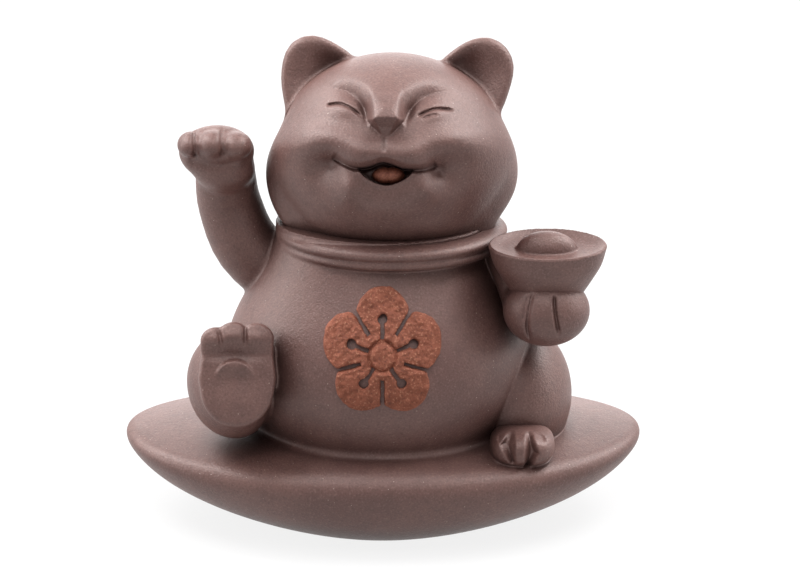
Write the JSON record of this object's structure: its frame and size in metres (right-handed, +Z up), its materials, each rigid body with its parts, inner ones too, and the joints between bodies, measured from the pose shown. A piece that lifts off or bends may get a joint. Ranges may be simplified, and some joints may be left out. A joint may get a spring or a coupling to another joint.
{
  "type": "lucky cat figurine",
  "caption": "Laughing cat in fired brown clay, seated on a boat-shaped ingot, with one paw raised to beckon and a small ingot held on the other; a red blossom lies on its belly.",
  "frame": {"origin": "middle of the seat's underside, in the plane of the foot ring that it stands on", "axes": "+X to the viewer's right when the cat is seen from the front, along the seat; +Y to the back; +Z up. The cat faces -Y."},
  "size_m": [0.081, 0.0518, 0.0751],
  "materials": {
    "brown_clay": "unglazed, satin matt, finely grained",
    "red_clay": "unglazed, coarse and matt",
    "tongue_clay": "unglazed, matt"
  },
  "bodies": {
    "root": {"ingot_seat": "brown_clay", "torso": "brown_clay", "neck_collar": "brown_clay", "head": "brown_clay", "right_ear": "brown_clay", "left_ear": "brown_clay", "tongue": "tongue_clay", "raised_arm": "brown_clay", "hand_ingot": "brown_clay", "holding_arm": "brown_clay", "right_leg": "brown_clay", "left_thigh": "brown_clay", "left_foot": "brown_clay", "tail": "brown_clay", "belly_blossom": "red_clay"}
  },
  "joints": []
}
